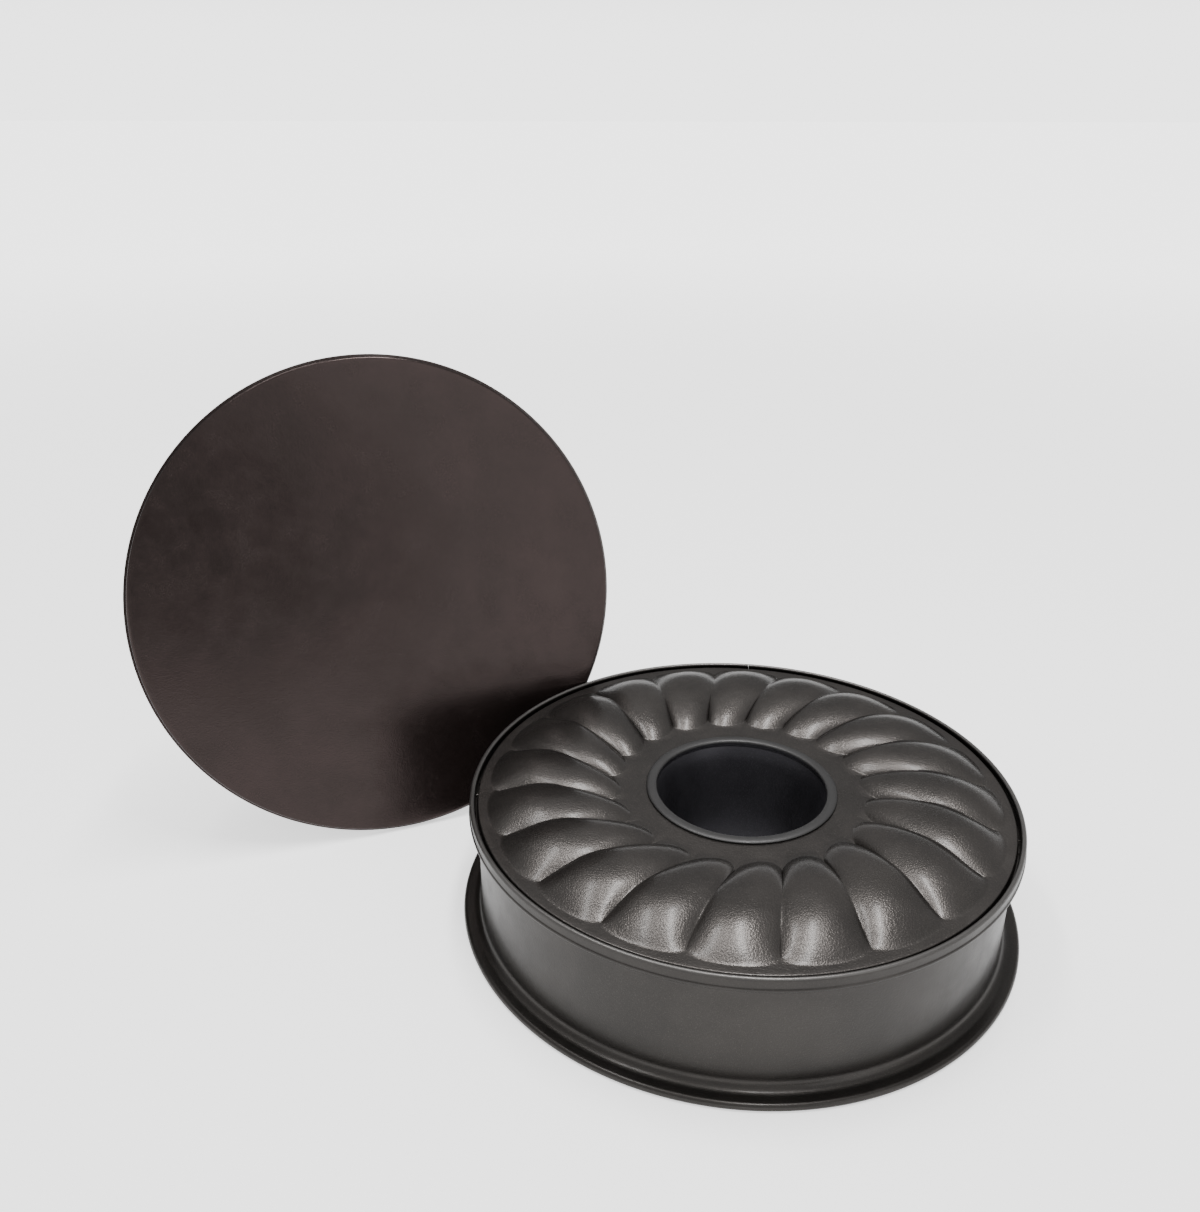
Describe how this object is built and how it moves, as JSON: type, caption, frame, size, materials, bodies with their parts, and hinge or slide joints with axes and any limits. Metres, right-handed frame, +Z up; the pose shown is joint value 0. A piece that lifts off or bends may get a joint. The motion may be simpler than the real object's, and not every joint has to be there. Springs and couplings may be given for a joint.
{
  "type": "springform tube pan",
  "caption": "Springform cake tin upside down on its rim: latched hoop with a fluted tube base seated in it and a plain flat base standing beside it.",
  "frame": {"origin": "on the worktop, under the middle of the whole set's bounding box", "axes": "+X runs from the flat base to the hoop, +Z up from the worktop; the latch is on the hoop's +Y side"},
  "size_m": [0.4568, 0.281, 0.2538],
  "materials": {
    "ring_band": "dark non-stick coating, satin",
    "lever_bracket": "plated, satin",
    "lever_pin": "plated, satin",
    "catch_plate": "plated, satin",
    "bracket_rivet_near": "plated, satin",
    "bracket_rivet_far": "plated, satin",
    "catch_rivet_low": "plated, satin",
    "catch_rivet_high": "plated, satin",
    "lever": "plated, satin",
    "bail": "plated wire, bright",
    "fluted_base": "dark non-stick coating, satin",
    "centre_tube": "dark non-stick coating, satin",
    "flat_base": "dark brown non-stick coating, matte"
  },
  "bodies": {
    "ring": {"ring_band": "ring_band", "lever_bracket": "lever_bracket", "lever_pin": "lever_pin", "catch_plate": "catch_plate", "bracket_rivet_near": "bracket_rivet_near", "bracket_rivet_far": "bracket_rivet_far", "catch_rivet_low": "catch_rivet_low", "catch_rivet_high": "catch_rivet_high"},
    "lever": {"lever": "lever"},
    "bail": {"bail": "bail"},
    "tube_base": {"fluted_base": "fluted_base", "centre_tube": "centre_tube"},
    "flat_base": {"flat_base": "flat_base"}
  },
  "joints": [
    {"name": "lever_swing", "type": "hinge", "parent": "ring", "child": "lever", "pos_m": [0.06287, 0.1363, 0.033], "axis": [0, 0, -1], "range_deg": [0, 130]},
    {"name": "bail_swing", "type": "hinge", "parent": "lever", "child": "bail", "pos_m": [0.05406, 0.13446, 0.033], "axis": [0, 0, -1], "range_deg": [-124, 0]},
    {"name": "tube_base_lift", "type": "slide", "parent": "ring", "child": "tube_base", "axis": [0, 0, 1], "range_m": [0, 0.1]},
    {"name": "flat_base_lift", "type": "slide", "parent": "ring", "child": "flat_base", "axis": [0, 0, 1], "range_m": [0, 0.1]}
  ],
  "couplings": [
    {"joint": "bail_swing", "follows": "lever_swing", "ratio": -0.95}
  ]
}
